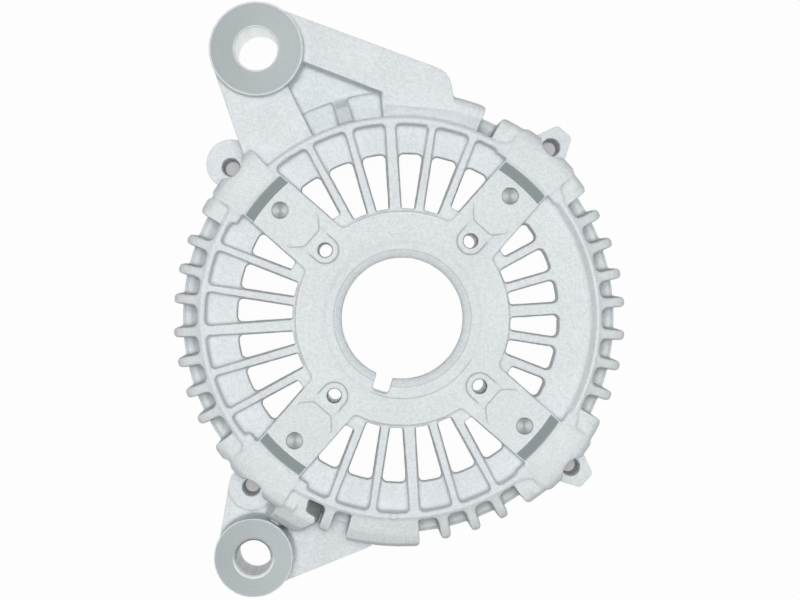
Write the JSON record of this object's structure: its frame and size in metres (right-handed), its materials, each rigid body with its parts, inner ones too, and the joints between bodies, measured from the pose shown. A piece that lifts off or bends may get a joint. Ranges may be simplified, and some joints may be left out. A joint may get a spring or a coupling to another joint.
{
  "type": "alternator drive end bracket",
  "caption": "Cast front bracket of an alternator: ribbed air grille around a bearing hub, finned side wall, bolt ears and two mounting ears",
  "frame": {"origin": "on the bearing axis, in the plane of the back face that meets the stator", "axes": "+Z along the bearing axis towards the outer (pulley) side; +X to the right and +Y up as seen from the outer side, with both mounting ears at -X"},
  "size_m": [0.1379, 0.1797, 0.037],
  "materials": {
    "cast_aluminium": "blasted as cast, with bare machined faces"
  },
  "bodies": {
    "root": {"drive_end_bracket": "cast_aluminium"}
  },
  "joints": []
}
